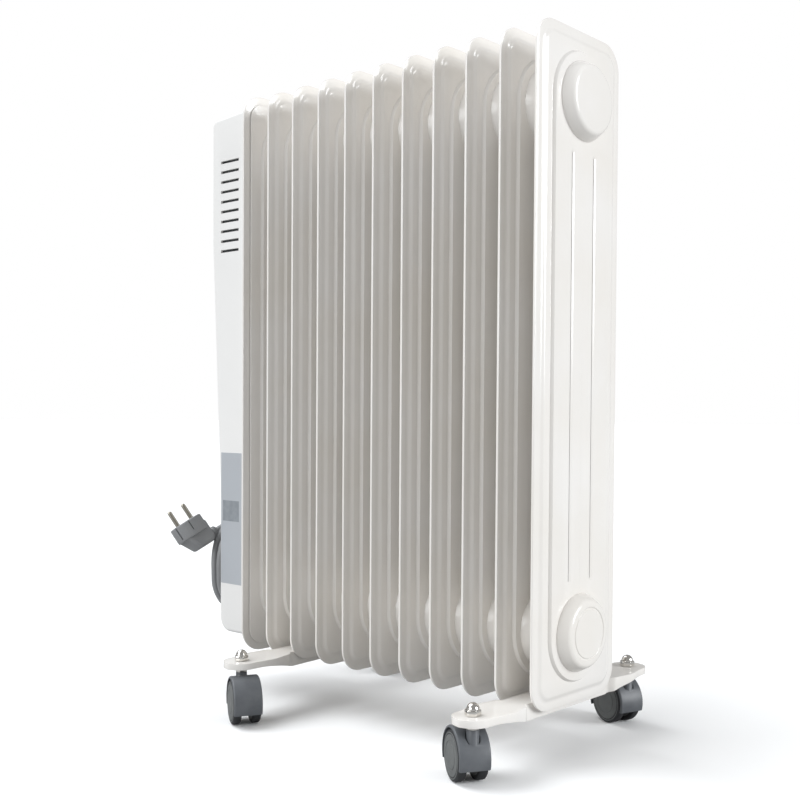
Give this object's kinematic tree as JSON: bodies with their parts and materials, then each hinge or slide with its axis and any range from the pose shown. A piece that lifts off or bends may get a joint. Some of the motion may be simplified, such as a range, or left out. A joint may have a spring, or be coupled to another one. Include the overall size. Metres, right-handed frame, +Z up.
{
  "type": "oil filled radiator heater",
  "caption": "White oil filled radiator heater: a row of upright pressed steel fins, a control box on one end, grey twin-wheel casters on two foot plates, and a cord on its winder.",
  "frame": {"origin": "on the floor, under the middle of the heater's own pieces (its free cord and plug left out)", "axes": "+Z up, +X along the row of fins from the control box to the bare end, +Y to the left of +X"},
  "size_m": [0.4963, 0.292, 0.6293],
  "materials": {
    "white_enamel": "smooth white enamel",
    "box_plastic": "satin white",
    "grey_plastic": "satin grey",
    "wheel_plastic": "satin grey",
    "cord_grey": "soft grey PVC",
    "plated_brass": "nickel plated",
    "signal_red": "translucent red",
    "dark_plastic": "satin dark grey",
    "zinc_steel": "bright zinc plated"
  },
  "bodies": {
    "heater": {"fin_01": "white_enamel", "fin_02": "white_enamel", "fin_03": "white_enamel", "fin_04": "white_enamel", "fin_05": "white_enamel", "fin_06": "white_enamel", "fin_07": "white_enamel", "fin_08": "white_enamel", "fin_09": "white_enamel", "fin_10": "white_enamel", "fin_11": "white_enamel", "rear_shield": "box_plastic", "control_box": "box_plastic", "control_panel": "grey_plastic", "thermostat_body": "dark_plastic", "switch_body": "dark_plastic", "pilot_lamp": "signal_red", "heating_element": "zinc_steel", "terminal_block": "box_plastic", "tip_over_switch": "dark_plastic", "cord_winder": "box_plastic", "cord_gland": "cord_grey", "cord_lead": "cord_grey", "cord_tail": "cord_grey", "cord_hank": "cord_grey", "plug_body": "cord_grey", "plug_pin_left": "plated_brass", "plug_pin_right": "plated_brass", "foot_plate_near": "white_enamel", "foot_plate_far": "white_enamel", "u_bolt_near": "zinc_steel", "u_bolt_far": "zinc_steel", "wing_nut_near_left": "zinc_steel", "wing_nut_near_right": "zinc_steel", "wing_nut_far_left": "zinc_steel", "wing_nut_far_right": "zinc_steel", "acorn_nut_near_left": "zinc_steel", "caster_stem_near_left": "zinc_steel", "acorn_nut_near_right": "zinc_steel", "caster_stem_near_right": "zinc_steel", "acorn_nut_far_left": "zinc_steel", "caster_stem_far_left": "zinc_steel", "acorn_nut_far_right": "zinc_steel", "caster_stem_far_right": "zinc_steel"},
    "caster_near_left": {"caster_hood_near_left": "grey_plastic"},
    "wheel_near_left_a": {"wheel_near_left_a": "wheel_plastic"},
    "wheel_near_left_b": {"wheel_near_left_b": "wheel_plastic"},
    "caster_near_right": {"caster_hood_near_right": "grey_plastic"},
    "wheel_near_right_a": {"wheel_near_right_a": "wheel_plastic"},
    "wheel_near_right_b": {"wheel_near_right_b": "wheel_plastic"},
    "caster_far_left": {"caster_hood_far_left": "grey_plastic"},
    "wheel_far_left_a": {"wheel_far_left_a": "wheel_plastic"},
    "wheel_far_left_b": {"wheel_far_left_b": "wheel_plastic"},
    "caster_far_right": {"caster_hood_far_right": "grey_plastic"},
    "wheel_far_right_a": {"wheel_far_right_a": "wheel_plastic"},
    "wheel_far_right_b": {"wheel_far_right_b": "wheel_plastic"},
    "knob": {"thermostat_knob": "dark_plastic", "thermostat_shaft": "zinc_steel"},
    "rocker_low_heat": {"rocker_low_heat": "signal_red"},
    "rocker_high_heat": {"rocker_high_heat": "signal_red"}
  },
  "joints": [
    {"name": "swivel_near_left", "type": "hinge", "parent": "heater", "child": "caster_near_left", "pos_m": [0.2007, -0.11514, 0], "axis": [0, 0, 1], "continuous": true},
    {"name": "spin_near_left_a", "type": "hinge", "parent": "caster_near_left", "child": "wheel_near_left_a", "pos_m": [0.1873, -0.10677, 0.021], "axis": [-0.5299, -0.848, 0], "continuous": true},
    {"name": "spin_near_left_b", "type": "hinge", "parent": "caster_near_left", "child": "wheel_near_left_b", "pos_m": [0.1873, -0.10677, 0.021], "axis": [-0.5299, -0.848, 0], "continuous": true},
    {"name": "swivel_near_right", "type": "hinge", "parent": "heater", "child": "caster_near_right", "pos_m": [0.2007, 0.12026, 0], "axis": [0, 0, 1], "continuous": true},
    {"name": "spin_near_right_a", "type": "hinge", "parent": "caster_near_right", "child": "wheel_near_right_a", "pos_m": [0.18576, 0.1254, 0.021], "axis": [-0.3256, -0.9455, 0], "continuous": true},
    {"name": "spin_near_right_b", "type": "hinge", "parent": "caster_near_right", "child": "wheel_near_right_b", "pos_m": [0.18576, 0.1254, 0.021], "axis": [-0.3256, -0.9455, 0], "continuous": true},
    {"name": "swivel_far_left", "type": "hinge", "parent": "heater", "child": "caster_far_left", "pos_m": [-0.08959, -0.11485, 0], "axis": [0, 0, 1], "continuous": true},
    {"name": "spin_far_left_a", "type": "hinge", "parent": "caster_far_left", "child": "wheel_far_left_a", "pos_m": [-0.07577, -0.12251, 0.021], "axis": [0.4848, 0.8746, 0], "continuous": true},
    {"name": "spin_far_left_b", "type": "hinge", "parent": "caster_far_left", "child": "wheel_far_left_b", "pos_m": [-0.07577, -0.12251, 0.021], "axis": [0.4848, 0.8746, 0], "continuous": true},
    {"name": "swivel_far_right", "type": "hinge", "parent": "heater", "child": "caster_far_right", "pos_m": [-0.10601, 0.11997, 0], "axis": [0, 0, 1], "continuous": true},
    {"name": "spin_far_right_a", "type": "hinge", "parent": "caster_far_right", "child": "wheel_far_right_a", "pos_m": [-0.12147, 0.12326, 0.021], "axis": [-0.2079, -0.9781, 0], "continuous": true},
    {"name": "spin_far_right_b", "type": "hinge", "parent": "caster_far_right", "child": "wheel_far_right_b", "pos_m": [-0.12147, 0.12326, 0.021], "axis": [-0.2079, -0.9781, 0], "continuous": true},
    {"name": "thermostat_turn", "type": "hinge", "parent": "heater", "child": "knob", "pos_m": [-0.21435, 0.00256, 0.526], "axis": [-1, 0, 0], "range_deg": [0, 270]},
    {"name": "rocker_low_heat_tilt", "type": "hinge", "parent": "heater", "child": "rocker_low_heat", "pos_m": [-0.2178, -0.01444, 0.574], "axis": [0, 1, 0], "range_deg": [0, 12]},
    {"name": "rocker_high_heat_tilt", "type": "hinge", "parent": "heater", "child": "rocker_high_heat", "pos_m": [-0.2178, 0.01956, 0.574], "axis": [0, 1, 0], "range_deg": [0, 12]}
  ]
}
